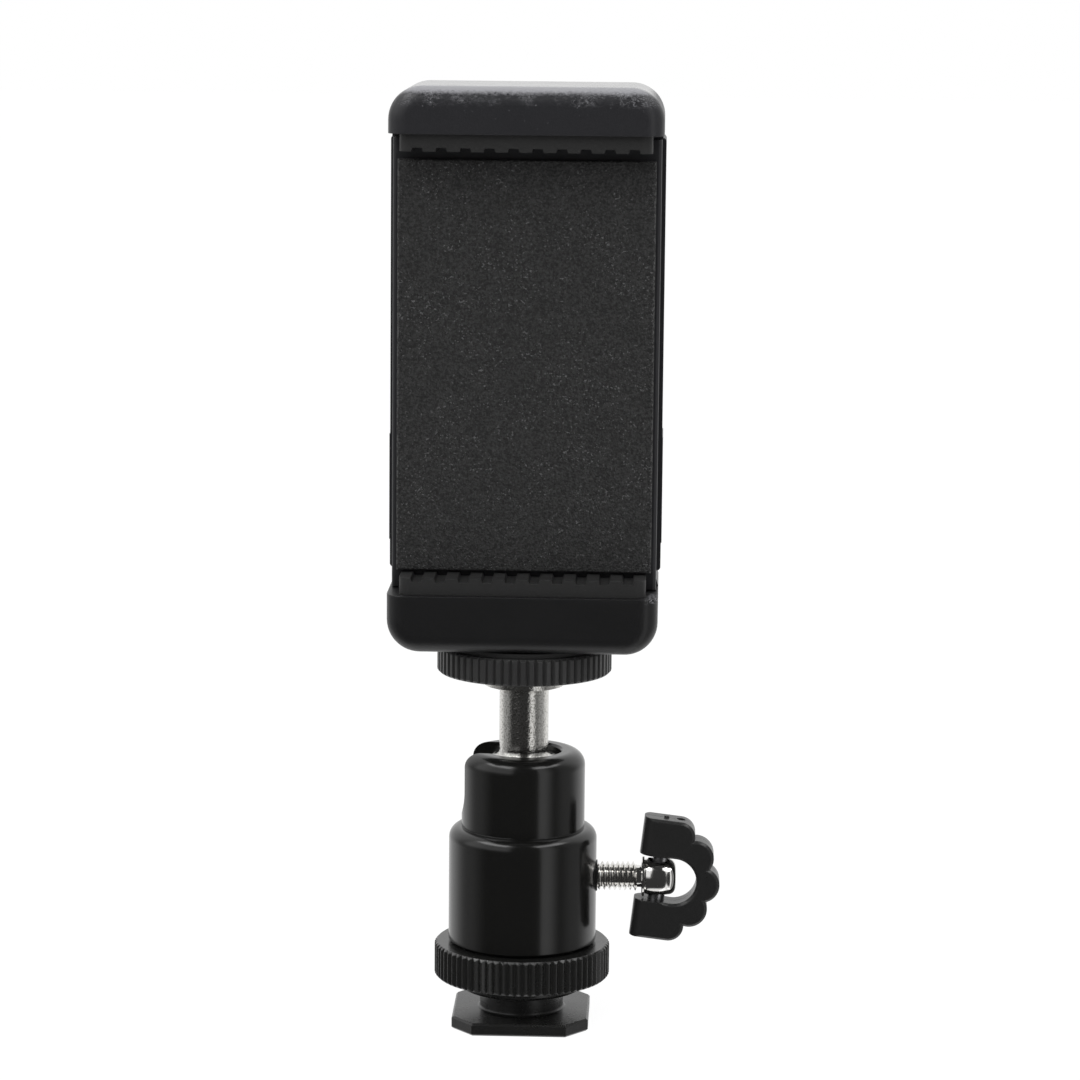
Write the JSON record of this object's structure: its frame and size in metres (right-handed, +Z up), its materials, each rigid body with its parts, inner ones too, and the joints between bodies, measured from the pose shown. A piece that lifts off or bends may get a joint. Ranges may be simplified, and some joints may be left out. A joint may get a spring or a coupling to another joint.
{
  "type": "tripod phone mount adapter",
  "caption": "Spring-loaded phone clamp on a lockable mini ball head, with a knurled lock ring and an accessory shoe foot that also takes a tripod screw.",
  "frame": {"origin": "centre of the foot's underside, at the mouth of the tripod thread", "axes": "+Z up along the ball head and the clamp, -Y out of the clamp's open side, +X along the lock screw towards its knob"},
  "size_m": [0.0453, 0.0245, 0.1279],
  "materials": {
    "black_anodised": "black anodised, glossy",
    "plain_aluminium": "turned",
    "nickel_plate": "plated, slightly mottled",
    "chrome_plate": "bright plated",
    "steel": "plain",
    "spring_steel": "drawn wire",
    "brass_insert": "turned",
    "clamp_plastic": "moulded, satin, scuffed along the top edge",
    "knob_plastic": "moulded, satin",
    "pad_rubber": "soft matte",
    "gasket_rubber": "soft matte",
    "foam": "fine-grained foam sheet"
  },
  "bodies": {
    "foot": {"shoe_foot": "black_anodised", "base_plug": "black_anodised", "ball_housing": "black_anodised", "ball_cup": "plain_aluminium"},
    "ring": {"lock_ring": "black_anodised"},
    "screw": {"lock_screw": "chrome_plate"},
    "knob": {"lock_knob": "knob_plastic", "knob_pin": "steel"},
    "stem": {"ball_stem": "nickel_plate"},
    "disc": {"mount_disc": "black_anodised", "disc_gasket": "gasket_rubber"},
    "clamp": {"clip_body": "clamp_plastic", "front_cover": "clamp_plastic", "cover_screws": "steel", "foam_pad": "foam", "lower_jaw_pad": "pad_rubber", "thread_insert": "brass_insert", "spring_left": "spring_steel", "spring_right": "spring_steel"},
    "jaw": {"upper_jaw": "clamp_plastic", "upper_jaw_pad": "pad_rubber", "guide_rod_left": "steel", "guide_rod_right": "steel", "rod_nuts": "steel"}
  },
  "joints": [
    {"name": "ring_turn", "type": "hinge", "parent": "foot", "child": "ring", "pos_m": [0, 0, 0.0063], "axis": [0, 0, 1], "continuous": true},
    {"name": "screw_turn", "type": "hinge", "parent": "foot", "child": "screw", "pos_m": [0.0156, 0, 0.0203], "axis": [1, 0, 0], "continuous": true},
    {"name": "knob_fold", "type": "hinge", "parent": "screw", "child": "knob", "pos_m": [0.01865, 0, 0.0203], "axis": [0.1167, 0, 0.9932], "range_deg": [-90, 90]},
    {"name": "ball_tilt", "type": "hinge", "parent": "foot", "child": "stem", "pos_m": [0, 0, 0.0325], "axis": [-0.1045, -0.9945, 0], "range_deg": [-15, 90]},
    {"name": "disc_turn", "type": "hinge", "parent": "stem", "child": "disc", "pos_m": [0, 0, 0.0488], "axis": [0, 0, 1], "continuous": true},
    {"name": "clamp_turn", "type": "hinge", "parent": "stem", "child": "clamp", "pos_m": [0, 0, 0.0531], "axis": [0, 0, 1], "continuous": true},
    {"name": "jaw_slide", "type": "slide", "parent": "clamp", "child": "jaw", "axis": [0, 0, 1], "range_m": [0, 0.029], "stiffness_N_per_m": 300, "springref_m": -0.016, "deforming": ["spring_left", "spring_right"]}
  ]
}
